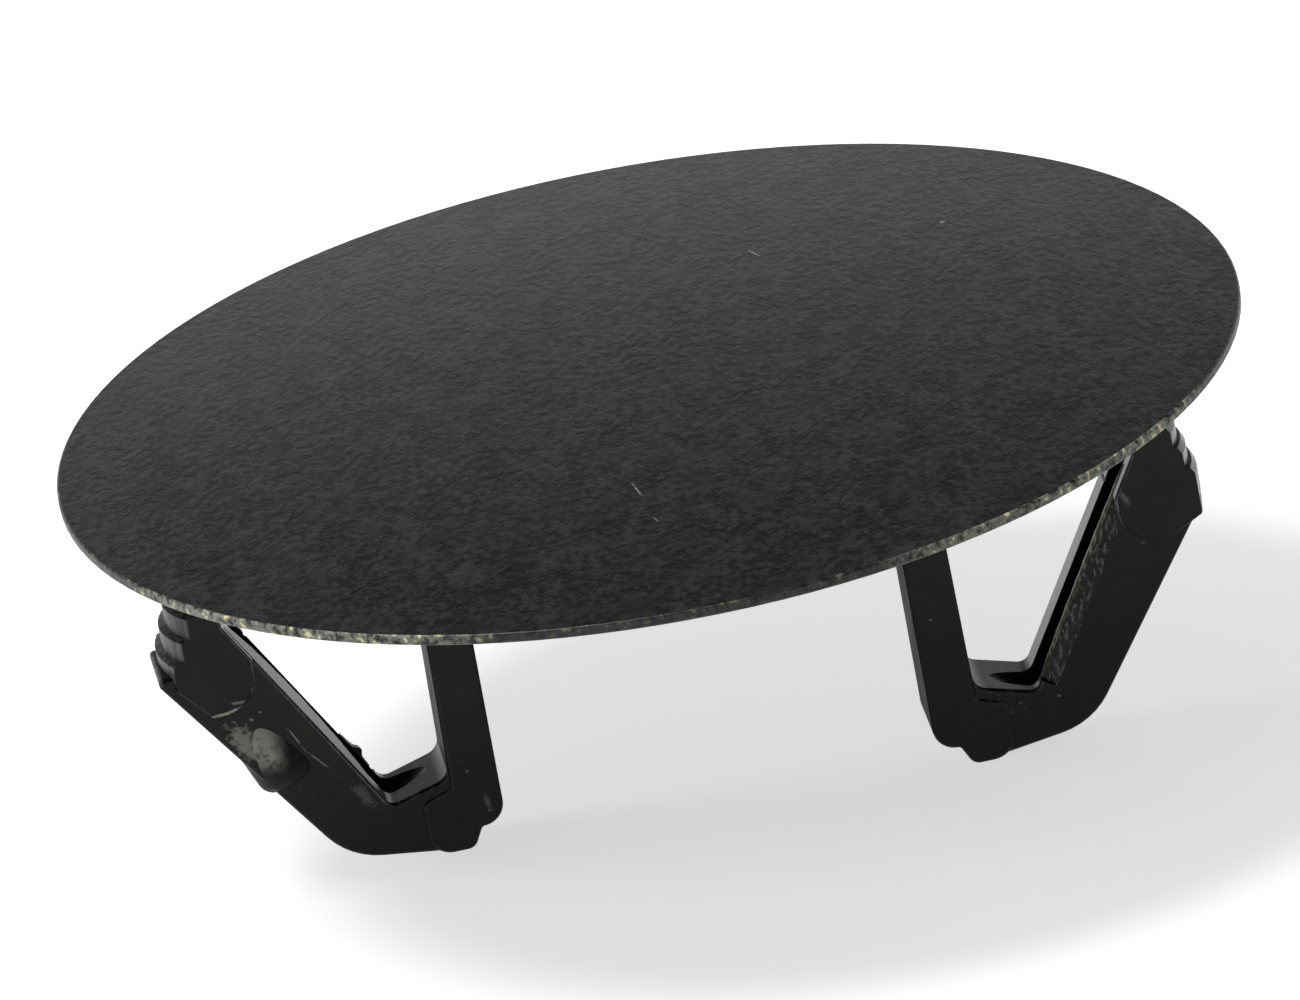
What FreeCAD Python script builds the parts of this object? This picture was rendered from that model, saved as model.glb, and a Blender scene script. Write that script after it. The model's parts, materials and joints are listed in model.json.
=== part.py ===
import FreeCAD, Part
import math
import os

from FreeCAD import Vector

# Plastic hole plug: a thin round cover disc with two V-shaped spring legs, moulded in one piece.
# Millimetres. The origin is on the disc's axis, in the plane where the rim seats on the panel.
# +Z points out of the panel. The legs lie in the XZ plane, one on each side of the axis.

# Cover disc
disc_diameter = 30.0
rim_thickness = 0.28
rim_round = 0.08
crown_rise = 0.70
lip_width = 1.60
hollow_depth = 0.20

# How closely a height or a side must match when an edge is picked out
match_gap = 1e-6

# Inner arm of a leg, hanging from the disc
arm_inset = 5.45
arm_thickness = 1.08
arm_width = 2.30
arm_draft_deg = 0.9
arm_length = 10.40
arm_corner_round = 0.58
root_round = 0.40
root_margin = 0.04
heel_margin = 0.04
heel_length = 1.40
heel_drop = 0.53
heel_round = 0.60
heel_height = 0.95

# Web at the bottom of the V
web_drop = 0.12
web_thickness = 1.60
web_sag_deg = 8.0
floor_length = 1.56
floor_slope_deg = 16.0
floor_round = 0.30
junction_round = 0.45
bend_radius = 1.90

# Outer arm of a leg, rising from the web to the catch
spring_width = 2.15
spring_foot = 1.70
spring_head = 2.60
bend_rise = 1.11
channel_width = 1.05
channel_shift = 0.20
channel_depth = 0.42
runout_length = 1.05
bevel_width = 0.34
bevel_depth = 0.42
cutter_overrun = 0.05

# Catch at the free end of the outer arm
catch_width = 2.46
catch_reach = 13.24
catch_depth = 4.72
catch_land = 0.50
nose_set_back = 0.14
right_nose_drop = 0.80
left_nose_drop = 0.22
end_gap = 0.80
catch_thickness = 1.67
cheek_radius = 1.00
cheek_side = 0.33
cheek_flat = 0.25
cheek_drop = 1.25
step_pitch = 0.60
step_depth = 0.18
right_ledge_height = 0.10
left_ledge_height = 0.46
bulge_low = 0.22
bulge_high = 0.50
crest_shift = 0.20
ledge_share = 0.99

# Gate stub on the left leg, where the mould was fed
stub_radius = 0.85
stub_length = 2.90
stub_height = 1.95
stub_proud_side = 0.34
stub_proud_out = 0.34
stub_sink = 0.55
stub_round = 0.40

# Small rounding of the legs' long edges
edge_round = 0.11

# The left leg is the right one turned half round. Each leg stands slightly turned about an
# upright line, and the left one sits a little higher.
leg_turn_deg = 4.0
leg_line = 9.0
left_leg_lift = 0.075

disc_radius = disc_diameter / 2
web_depth = arm_length + web_drop
floor_depth = web_depth - web_thickness
stub_depth = web_depth - stub_height
root_flare = root_round + root_margin
heel_x = arm_inset + arm_corner_round + heel_margin
end_back = catch_reach - catch_thickness


def rise_on_cap(radius, cap_radius, cap_rise):
    """Height that a shallow spherical cap has lost at a distance from its axis."""
    sphere = (cap_radius ** 2 + cap_rise ** 2) / (2 * cap_rise)
    return sphere - math.sqrt(sphere ** 2 - radius ** 2)


def cap_arc(cap_radius, edge_z, cap_rise):
    """Arc in the XZ plane from a cap's edge to its middle on the axis."""
    half = cap_radius / 2
    middle = Vector(half, 0, edge_z + cap_rise - rise_on_cap(half, cap_radius, cap_rise))
    return Part.Arc(Vector(cap_radius, 0, edge_z), middle, Vector(0, 0, edge_z + cap_rise)).toShape()


def corner_arc(center_x, center_z, radius, start_deg, end_deg):
    """Arc in the XZ plane about a centre, between two angles from +X towards +Z."""
    angles = (start_deg, (start_deg + end_deg) / 2, end_deg)
    points = []
    for angle in angles:
        turn = math.radians(angle)
        points.append(Vector(center_x + radius * math.cos(turn), 0, center_z + radius * math.sin(turn)))
    return Part.Arc(points[0], points[1], points[2]).toShape()


def rounded_outline(corners):
    """Closed wire in the XZ plane through corners (x, z, radius), each rounded by its radius."""
    count = len(corners)
    starts = []
    arcs = []
    for index in range(count):
        here = Vector(corners[index][0], 0, corners[index][1])
        before = Vector(corners[index - 1][0], 0, corners[index - 1][1])
        after = Vector(corners[(index + 1) % count][0], 0, corners[(index + 1) % count][1])
        radius = corners[index][2]
        to_before = (before - here).normalize()
        to_after = (after - here).normalize()
        half_angle = to_before.getAngle(to_after) / 2
        if radius == 0:
            starts.append((here, here))
            arcs.append(None)
            continue
        reach = radius / math.tan(half_angle)
        bisector = (to_before + to_after).normalize()
        middle = here + bisector * (radius / math.sin(half_angle) - radius)
        first = here + to_before * reach
        last = here + to_after * reach
        starts.append((first, last))
        arcs.append(Part.Arc(first, middle, last).toShape())
    edges = []
    for index in range(count):
        if arcs[index] is not None:
            edges.append(arcs[index])
        edges.append(Part.LineSegment(starts[index][1], starts[(index + 1) % count][0]).toShape())
    return Part.Wire(edges)


def slab(wire, width):
    """Solid made by drawing an XZ outline out to a width, centred on the XZ plane."""
    solid = Part.Face(wire).extrude(Vector(0, width, 0))
    solid.translate(Vector(0, -width / 2, 0))
    return solid


def round_side_edges(solid, width, radius):
    """Round the edges that lie in a slab's two side faces."""
    edges = []
    for edge in solid.Edges:
        if all(abs(abs(vertex.Y) - width / 2) < match_gap for vertex in edge.Vertexes):
            edges.append(edge)
    return solid.makeFillet(radius, edges)


def make_disc():
    """Crowned cover disc with a flat seat ring and a shallow hollow; its sweep starts clear of the legs."""
    seat_radius = disc_radius - lip_width
    top_radius = disc_radius - rim_round
    edges = [
        cap_arc(seat_radius, 0, hollow_depth),
        Part.LineSegment(Vector(seat_radius, 0, 0), Vector(top_radius, 0, 0)).toShape(),
        corner_arc(top_radius, rim_round, rim_round, -90, 0),
        Part.LineSegment(
            Vector(disc_radius, 0, rim_round), Vector(disc_radius, 0, rim_thickness - rim_round)
        ).toShape(),
        corner_arc(top_radius, rim_thickness - rim_round, rim_round, 0, 90),
        cap_arc(top_radius, rim_thickness, crown_rise),
        Part.LineSegment(Vector(0, 0, rim_thickness + crown_rise), Vector(0, 0, hollow_depth)).toShape(),
    ]
    section = Part.Face(Part.Wire(Part.__sortEdges__(edges)))
    section.rotate(Vector(0, 0, 0), Vector(0, 0, 1), 90)
    return section.revolve(Vector(0, 0, 0), Vector(0, 0, 1), 360)


def window_face_x(z):
    """X of the inner arm's face towards the V's window, which leans out on its way down."""
    return arm_inset + arm_thickness - z * math.tan(math.radians(arm_draft_deg))


def spring_foot_point():
    """Corner where the window's floor meets the outer arm's inner face."""
    drop = floor_length * math.tan(math.radians(floor_slope_deg))
    return window_face_x(-floor_depth) + floor_length, -floor_depth - drop


def spring_inner_turn():
    """Angle of the outer arm's inner face from upright, up to the bend behind the catch."""
    foot_x, foot_z = spring_foot_point()
    return math.atan2(end_back - foot_x, bend_rise - catch_depth - foot_z)


def spring_outer_foot_point():
    """Point of the outer arm's outer face that lies across from its foot."""
    foot_x, foot_z = spring_foot_point()
    turn = spring_inner_turn()
    return foot_x + spring_foot * math.cos(turn), foot_z - spring_foot * math.sin(turn)


def spring_outer_turn():
    """Angle of the outer arm's outer face from upright."""
    start_x, start_z = spring_outer_foot_point()
    return math.atan2(spring_inner_x(-catch_depth) + spring_head - start_x, -catch_depth - start_z)


def spring_inner_x(z):
    """X of the outer arm's inner face at a height."""
    foot_x, foot_z = spring_foot_point()
    return foot_x + (z - foot_z) * math.tan(spring_inner_turn())


def spring_outer_x(z):
    """X of the outer arm's outer face at a height."""
    start_x, start_z = spring_outer_foot_point()
    return start_x + (z - start_z) * math.tan(spring_outer_turn())


def make_inner_arm():
    """Straight arm under the disc, with a rounded heel at its lower end."""
    anchor_z = (hollow_depth + rim_thickness + crown_rise) / 2
    heel_z = -arm_length - heel_drop
    heel_top_z = heel_height - arm_length
    outline = rounded_outline([
        (arm_inset - root_flare, anchor_z, 0),
        (arm_inset - root_flare, hollow_depth, 0),
        (arm_inset, hollow_depth, root_round),
        (arm_inset, -arm_length, arm_corner_round),
        (heel_x, -arm_length, 0),
        (heel_x + heel_drop / 2, heel_z, heel_round / 2),
        (heel_x + heel_length, heel_z, heel_round),
        (heel_x + heel_length, heel_top_z, heel_round / 2),
        (window_face_x(heel_top_z), heel_top_z + heel_drop / 2, 0),
        (window_face_x(hollow_depth), hollow_depth, root_round),
        (window_face_x(hollow_depth) + root_flare, hollow_depth, 0),
        (window_face_x(hollow_depth) + root_flare, anchor_z, 0),
    ])
    return round_side_edges(slab(outline, arm_width), arm_width, edge_round)


def make_spring(nose_drop):
    """Web and outer arm in one sweep of material, up to the middle of the catch."""
    foot_x, foot_z = spring_foot_point()
    hidden_x = arm_inset + arm_thickness / 2
    hidden_z = -floor_depth + 2 * junction_round
    sag_x = heel_x + heel_length / 2
    sag = (spring_outer_x(-web_depth) - sag_x) * math.tan(math.radians(web_sag_deg))
    top_z = -catch_depth
    outline = rounded_outline([
        (hidden_x, hidden_z, 0),
        (window_face_x(hidden_z), hidden_z, 0),
        (window_face_x(-floor_depth), -floor_depth, junction_round),
        (foot_x, foot_z, floor_round),
        (spring_inner_x(top_z), top_z, 0),
        (spring_outer_x(-catch_depth - nose_drop), top_z, 0),
        (spring_outer_x(-catch_depth - nose_drop), -catch_depth - nose_drop, 0),
        (spring_outer_x(-web_depth), -web_depth, bend_radius),
        (sag_x, -web_depth - sag, 0),
        (hidden_x, -arm_length + arm_corner_round, 0),
    ])
    return round_side_edges(slab(outline, spring_width), spring_width, edge_round)


def bowed_block(low_z, high_z, reach, bulge):
    """Block with a bowed front: its crest is at the reach and falls back by the bulge at half a width."""
    half = catch_width / 2
    radius = (half ** 2 + bulge ** 2) / (2 * bulge)
    center_x = reach - radius
    back_x = min(center_x, arm_inset)
    near = -crest_shift - radius
    far = -crest_shift + radius
    front = Part.Arc(
        Vector(center_x, near, low_z), Vector(reach, -crest_shift, low_z), Vector(center_x, far, low_z)
    ).toShape()
    back = Part.makePolygon([
        Vector(center_x, far, low_z),
        Vector(back_x - radius, far, low_z),
        Vector(back_x - radius, near, low_z),
        Vector(center_x, near, low_z),
    ])
    outline = Part.Wire([front] + back.Edges)
    return Part.Face(outline).extrude(Vector(0, 0, high_z - low_z))


def make_steps(ledge_height):
    """Stack of bowed blocks that steps back towards the disc, with a sloped ledge on each block."""
    low_z = -web_depth
    high_z = catch_land - catch_depth
    reach = catch_reach
    bulge = bulge_low
    blocks = []
    while low_z < -end_gap:
        block = bowed_block(low_z, high_z, reach, bulge)
        crest = [edge for edge in block.Edges if isinstance(edge.Curve, Part.Circle)]
        crest = [edge for edge in crest if abs(edge.Vertexes[0].Z - high_z) < match_gap]
        blocks.append(block.makeChamfer(step_depth * ledge_share, ledge_height, crest))
        low_z = high_z - ledge_height
        high_z += step_pitch
        reach -= step_depth
        share = min(1, (high_z + catch_depth) / (catch_depth - end_gap))
        bulge = bulge_low + (bulge_high - bulge_low) * share
    return blocks[0].fuse(blocks[1:])


def make_catch(nose_drop, ledge_height):
    """Catch at the arm's free end, with a round cheek below and a stepped, bowed outer face."""
    nose_z = -catch_depth - nose_drop
    cheek_z = -catch_depth - cheek_drop
    cheek_top_z = cheek_z + cheek_radius + cheek_side
    cheek_x = spring_inner_x(cheek_top_z)
    far_x = catch_reach + cheek_radius
    outline = rounded_outline([
        (cheek_x, cheek_top_z, 0),
        (cheek_x, cheek_z, cheek_radius),
        (cheek_x + cheek_radius + cheek_flat, cheek_z, 0),
        (catch_reach - nose_set_back, nose_z, 0),
        (catch_reach, -catch_depth, 0),
        (far_x, -catch_depth, 0),
        (far_x, -end_gap, 0),
        (end_back, -end_gap, 0),
        (end_back, bend_rise - catch_depth, 0),
    ])
    side_view = round_side_edges(slab(outline, catch_width), catch_width, edge_round)
    return side_view.common(make_steps(ledge_height))


def make_channel():
    """Cutter for the lengthwise channel in the outer arm's inner face, which runs out in the floor."""
    foot_x, foot_z = spring_foot_point()
    turn = spring_inner_turn()
    along = Vector(math.sin(turn), 0, math.cos(turn))
    into = Vector(math.cos(turn), 0, -math.sin(turn))
    foot = Vector(foot_x, 0, foot_z)
    bend = foot + along * ((end_back - foot_x) / math.sin(turn))
    outline = Part.makePolygon([
        foot - into * channel_depth,
        foot + into * channel_depth,
        bend + into * channel_depth,
        Vector(end_back + channel_depth, 0, bend.z),
        Vector(end_back + channel_depth, 0, 0),
        Vector(end_back - channel_depth, 0, 0),
        Vector(end_back - channel_depth, 0, bend.z),
        foot - into * channel_depth,
    ])
    groove = slab(outline, channel_width)
    groove.translate(Vector(0, -channel_shift, 0))
    floor_turn = math.radians(floor_slope_deg)
    floor_way = Vector(-math.cos(floor_turn), 0, math.sin(floor_turn))
    floor_up = Vector(math.sin(floor_turn), 0, math.cos(floor_turn))
    radius = channel_width / 2
    start = foot + into * channel_depth / 2 + floor_up * (radius - channel_depth)
    end = foot + floor_way * runout_length + floor_up * radius
    runout = Part.makeCylinder(radius, (end - start).Length, start, end - start)
    runout = runout.fuse(Part.makeSphere(radius, start))
    runout.translate(Vector(0, -channel_shift, 0))
    return groove.fuse(runout)


def make_bevel():
    """Cutter for the bevel along one edge of the outer arm's inner face."""
    foot_x, foot_z = spring_foot_point()
    turn = spring_inner_turn()
    along = Vector(math.sin(turn), 0, math.cos(turn))
    into = Vector(math.cos(turn), 0, -math.sin(turn))
    edge = Vector(foot_x, -spring_width / 2, foot_z) + along * floor_round
    inward = Vector(0, bevel_width, 0)
    corners = [
        edge - into * cutter_overrun - inward,
        edge - into * cutter_overrun + inward * (1 + cutter_overrun / bevel_depth),
        edge + into * bevel_depth,
        edge + into * bevel_depth - inward,
    ]
    length = (-catch_depth - foot_z) / math.cos(turn)
    face = Part.Face(Part.makePolygon(corners + [corners[0]]))
    return face.extrude(along * length)


def make_leg(nose_drop, ledge_height, has_stub):
    """One V-shaped leg on the +X side."""
    spring = make_spring(nose_drop)
    if has_stub:
        spring = spring.fuse(make_gate_stub())
    spring = spring.cut(make_bevel())
    leg = spring.fuse(make_catch(nose_drop, ledge_height)).cut(make_channel())
    return leg.fuse(make_inner_arm())


def make_gate_stub():
    """Stub that swells out of the left leg's outer arm, where the mould was fed."""
    turn = spring_outer_turn()
    along = Vector(math.sin(turn), 0, math.cos(turn))
    out = Vector(math.cos(turn), 0, -math.sin(turn))
    corner = Vector(spring_outer_x(-stub_depth), spring_width / 2, -stub_depth)
    low_end = corner + out * (stub_proud_out - stub_radius) + Vector(0, stub_proud_side - stub_radius, 0)
    high_end = low_end + along * stub_length - (Vector(0, 1, 0) + out) * stub_sink
    stub = Part.makeCylinder(stub_radius, stub_length, low_end, high_end - low_end)
    rims = [edge for edge in stub.Edges if isinstance(edge.Curve, Part.Circle)]
    low_rim = min(rims, key=lambda edge: edge.CenterOfMass.z)
    return stub.makeFillet(stub_round, [low_rim])


def make_plug():
    """The whole moulding."""
    up = Vector(0, 0, 1)
    right_leg = make_leg(right_nose_drop, right_ledge_height, False)
    left_leg = make_leg(left_nose_drop, left_ledge_height, True)
    left_leg.rotate(Vector(0, 0, 0), up, 180)
    left_leg.translate(up * left_leg_lift)
    right_leg.rotate(Vector(leg_line, -arm_width / 2, 0), up, leg_turn_deg)
    left_leg.rotate(Vector(-leg_line, -arm_width / 2, 0), up, leg_turn_deg)
    return make_disc().fuse([right_leg, left_leg]).removeSplitter()


os.makedirs("parts", exist_ok=True)
hole_plug = make_plug()
print("valid", hole_plug.isValid(), "solids", len(hole_plug.Solids), "volume", round(hole_plug.Volume, 2))
box = hole_plug.BoundBox
print("box", round(box.XMin, 3), round(box.XMax, 3), round(box.ZMin, 3), round(box.ZMax, 3))
hole_plug.exportStep("parts/hole_plug.step")
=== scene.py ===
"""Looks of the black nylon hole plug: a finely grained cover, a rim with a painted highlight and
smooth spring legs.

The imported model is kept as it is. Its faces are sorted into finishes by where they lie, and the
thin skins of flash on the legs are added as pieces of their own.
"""

import json
import logging
import math
from dataclasses import dataclass, field
from enum import Enum

import bmesh
import bpy
from mathutils import Matrix, Vector

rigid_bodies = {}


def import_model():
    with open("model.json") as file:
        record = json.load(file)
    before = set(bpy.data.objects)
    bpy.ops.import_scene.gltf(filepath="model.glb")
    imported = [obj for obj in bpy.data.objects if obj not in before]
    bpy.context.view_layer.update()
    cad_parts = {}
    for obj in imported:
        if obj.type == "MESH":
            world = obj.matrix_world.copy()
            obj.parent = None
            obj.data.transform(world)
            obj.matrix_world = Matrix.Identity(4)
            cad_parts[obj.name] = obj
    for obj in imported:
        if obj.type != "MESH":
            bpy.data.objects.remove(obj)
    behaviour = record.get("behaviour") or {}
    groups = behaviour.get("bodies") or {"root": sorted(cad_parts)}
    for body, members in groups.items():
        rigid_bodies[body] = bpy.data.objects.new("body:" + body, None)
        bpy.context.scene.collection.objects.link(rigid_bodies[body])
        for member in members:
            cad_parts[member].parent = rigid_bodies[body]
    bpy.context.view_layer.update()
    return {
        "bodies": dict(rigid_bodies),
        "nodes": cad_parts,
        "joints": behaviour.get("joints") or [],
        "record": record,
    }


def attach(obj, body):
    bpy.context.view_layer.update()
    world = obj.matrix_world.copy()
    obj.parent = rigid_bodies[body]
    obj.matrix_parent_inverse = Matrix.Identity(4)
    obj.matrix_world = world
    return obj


LOG = logging.getLogger("hole_plug")
MM = 0.001
NODE = "hole_plug"
WHITE = (1.0, 1.0, 1.0, 1.0)

# The sRGB curve: straight up to the knee, a power above it
SRGB_KNEE = 0.04045
SRGB_SLOPE = 12.92
SRGB_OFFSET = 0.055
SRGB_POWER = 2.4

# Settings that nodes share
SMOOTH = {"interpolation_type": "SMOOTHSTEP"}
COLOUR = {"data_type": "RGBA"}
MULTIPLY = {"operation": "MULTIPLY"}
MAXIMUM = {"operation": "MAXIMUM"}

# How much fine structure a noise pattern carries
SPECK_DETAIL = 1.5
COARSE_DETAIL = 2.0
FINE_DETAIL = 3.0
FINE_ROUGHNESS = 0.6

# Noise tears the edge of a mark: with it added, the mark is full up to one reach and gone at another
RAGGED_MM = 0.14
RAGGED_ROUGHNESS = 0.7
RAGGED_WEIGHT = 2.0
MARK_FULL = 1.35
MARK_GONE = 1.95


def srgb(code: str) -> tuple[float, float, float, float]:
    """Turn an sRGB hex colour into linear red, green, blue and full alpha.

    Args:
        code: six hex digits, such as "1c1c1d".

    Returns:
        The linear colour with alpha 1.
    """
    channels = []
    for start in (0, 2, 4):
        value = int(code[start : start + 2], 16) / 255
        if value <= SRGB_KNEE:
            channels.append(value / SRGB_SLOPE)
        else:
            channels.append(((value + SRGB_OFFSET) / (1 + SRGB_OFFSET)) ** SRGB_POWER)
    return (channels[0], channels[1], channels[2], 1.0)


def add_node(
    tree: bpy.types.NodeTree,
    kind: str,
    settings: dict[str, object] | None = None,
    **links: object,
) -> bpy.types.Node:
    """Add a node, give it settings, and set or link its sockets.

    Args:
        tree: the node tree.
        kind: the node's type name in Blender.
        settings: attributes of the node itself.
        links: a socket's name with "_" for a space, or "i" and its index, to a value or an output.

    Returns:
        The new node.
    """
    node = tree.nodes.new(kind)
    for name, value in (settings or {}).items():
        setattr(node, name, value)
    for name, value in links.items():
        by_index = name[0] == "i" and name[1:].isdigit()
        socket = node.inputs[int(name[1:])] if by_index else node.inputs[name.replace("_", " ")]
        if isinstance(value, bpy.types.NodeSocket):
            tree.links.new(value, socket)
        else:
            socket.default_value = value
    return node


def new_material(name: str) -> tuple[bpy.types.Material, bpy.types.NodeTree]:
    """Make a material with an empty node tree.

    Args:
        name: the material's name.

    Returns:
        The material and its node tree.
    """
    material = bpy.data.materials.new(name)
    material.use_nodes = True
    material.node_tree.nodes.clear()
    return material, material.node_tree


@dataclass(frozen=True)
class Mark:
    """A light scratch, fleck or patch of painted highlight: its middle and half sizes in millimetres,
    its turn in degrees.
    """

    place: tuple[float, float, float]
    turn: tuple[float, float, float]
    half_size: tuple[float, float, float]
    strength: float = 0.8


def paint_marks(
    tree: bpy.types.NodeTree,
    where: bpy.types.NodeSocket,
    colour: bpy.types.NodeSocket,
    marks: tuple[Mark, ...],
    tint: str,
) -> bpy.types.NodeSocket:
    """Lay light marks over a colour.

    Args:
        tree: the material's node tree.
        where: the place on the plug, in metres.
        colour: the colour under the marks.
        marks: the marks.
        tint: the marks' own sRGB colour.

    Returns:
        The colour with the marks on it.
    """
    ragged = add_node(
        tree,
        "ShaderNodeTexNoise",
        Vector=where,
        Scale=1 / (RAGGED_MM * MM),
        Detail=FINE_DETAIL,
        Roughness=RAGGED_ROUGHNESS,
    ).outputs["Fac"]
    for mark in marks:
        local = add_node(
            tree,
            "ShaderNodeMapping",
            {"vector_type": "TEXTURE"},
            Vector=where,
            Location=tuple(value * MM for value in mark.place),
            Rotation=tuple(math.radians(value) for value in mark.turn),
            Scale=tuple(value * MM for value in mark.half_size),
        ).outputs["Vector"]
        reach = add_node(
            tree, "ShaderNodeVectorMath", {"operation": "LENGTH"}, i0=local
        ).outputs["Value"]
        torn_reach = add_node(
            tree,
            "ShaderNodeMath",
            {"operation": "MULTIPLY_ADD"},
            i0=ragged,
            i1=RAGGED_WEIGHT,
            i2=reach,
        ).outputs[0]
        share = add_node(
            tree,
            "ShaderNodeMapRange",
            SMOOTH,
            Value=torn_reach,
            From_Min=MARK_GONE,
            From_Max=MARK_FULL,
            To_Max=mark.strength,
        ).outputs["Result"]
        colour = add_node(
            tree, "ShaderNodeMix", COLOUR, i0=share, i6=colour, i7=srgb(tint)
        ).outputs[2]
    return colour


@dataclass(frozen=True)
class GrainedCover:
    """Nylon moulded against a spark-eroded cavity: its grain scatters light into a dusty near-black.

    The grain is drawn coarser than such a cavity gives, and a little longer front to back, so that
    it shows at the photograph's size.
    """

    dark: str = "020203"
    light: str = "242426"
    green_cast: str = "141a14"
    violet_cast: str = "17141d"
    mark_colour: str = "8f9491"
    grain_mm: float = 0.20
    blotch_mm: float = 0.75
    cast_mm: float = 1.3
    drawn_out: float = 1.7
    blotch_share: float = 0.36
    tone_low: float = 0.43
    tone_high: float = 0.60
    cast_low: float = 0.50
    cast_high: float = 0.72
    cast_strength: float = 0.75
    roughness: float = 0.39
    ior: float = 1.53
    specular: float = 0.24
    bump_mm: float = 0.065
    bump_strength: float = 0.6
    marks: tuple[Mark, ...] = (
        Mark((3.26, 5.98, 0.79), (0.0, 0.0, 115.0), (0.42, 0.045, 0.2)),
        Mark((8.06, 6.20, 0.65), (0.0, 0.0, 20.0), (0.10, 0.07, 0.2)),
        Mark((-0.71, -7.98, 0.76), (0.0, 0.0, 103.0), (0.50, 0.04, 0.2), 0.6),
        Mark((-0.40, -9.81, 0.69), (0.0, 0.0, 110.0), (0.25, 0.04, 0.2), 0.45),
    )

    def make(self) -> bpy.types.Material:
        """Build the cover's material.

        Returns:
            The material.
        """
        material, tree = new_material("grained_nylon_cover")
        where = add_node(tree, "ShaderNodeTexCoord").outputs["Object"]
        spread = add_node(
            tree, "ShaderNodeMapping", Vector=where, Scale=(1.0, 1 / self.drawn_out, 1.0)
        ).outputs["Vector"]
        grain = add_node(
            tree,
            "ShaderNodeTexNoise",
            Vector=spread,
            Scale=1 / (self.grain_mm * MM),
            Detail=FINE_DETAIL,
            Roughness=FINE_ROUGHNESS,
        ).outputs["Fac"]
        blotch = add_node(
            tree,
            "ShaderNodeTexNoise",
            Vector=spread,
            Scale=1 / (self.blotch_mm * MM),
            Detail=COARSE_DETAIL,
        ).outputs["Fac"]
        cast = add_node(
            tree,
            "ShaderNodeTexNoise",
            Vector=where,
            Scale=1 / (self.cast_mm * MM),
            Detail=FINE_DETAIL,
        ).outputs["Color"]
        height = add_node(
            tree,
            "ShaderNodeMix",
            {"data_type": "FLOAT"},
            i0=self.blotch_share,
            i2=grain,
            i3=blotch,
        ).outputs[0]
        tone = add_node(
            tree,
            "ShaderNodeMapRange",
            SMOOTH,
            Value=height,
            From_Min=self.tone_low,
            From_Max=self.tone_high,
        ).outputs["Result"]
        colour = add_node(
            tree, "ShaderNodeMix", COLOUR, i0=tone, i6=srgb(self.dark), i7=srgb(self.light)
        ).outputs[2]
        channels = add_node(tree, "ShaderNodeSeparateColor", Color=cast)
        for channel, tint in (("Green", self.green_cast), ("Blue", self.violet_cast)):
            share = add_node(
                tree,
                "ShaderNodeMapRange",
                SMOOTH,
                Value=channels.outputs[channel],
                From_Min=self.cast_low,
                From_Max=self.cast_high,
                To_Max=self.cast_strength,
            ).outputs["Result"]
            colour = add_node(
                tree, "ShaderNodeMix", COLOUR, i0=share, i6=colour, i7=srgb(tint)
            ).outputs[2]
        colour = paint_marks(tree, where, colour, self.marks, self.mark_colour)
        bump = add_node(
            tree,
            "ShaderNodeBump",
            Strength=self.bump_strength,
            Distance=self.bump_mm * MM,
            Height=height,
        ).outputs["Normal"]
        shader = add_node(
            tree,
            "ShaderNodeBsdfPrincipled",
            Base_Color=colour,
            Roughness=self.roughness,
            IOR=self.ior,
            Specular_IOR_Level=self.specular,
            Normal=bump,
        )
        add_node(tree, "ShaderNodeOutputMaterial", Surface=shader.outputs["BSDF"])
        return material


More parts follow.
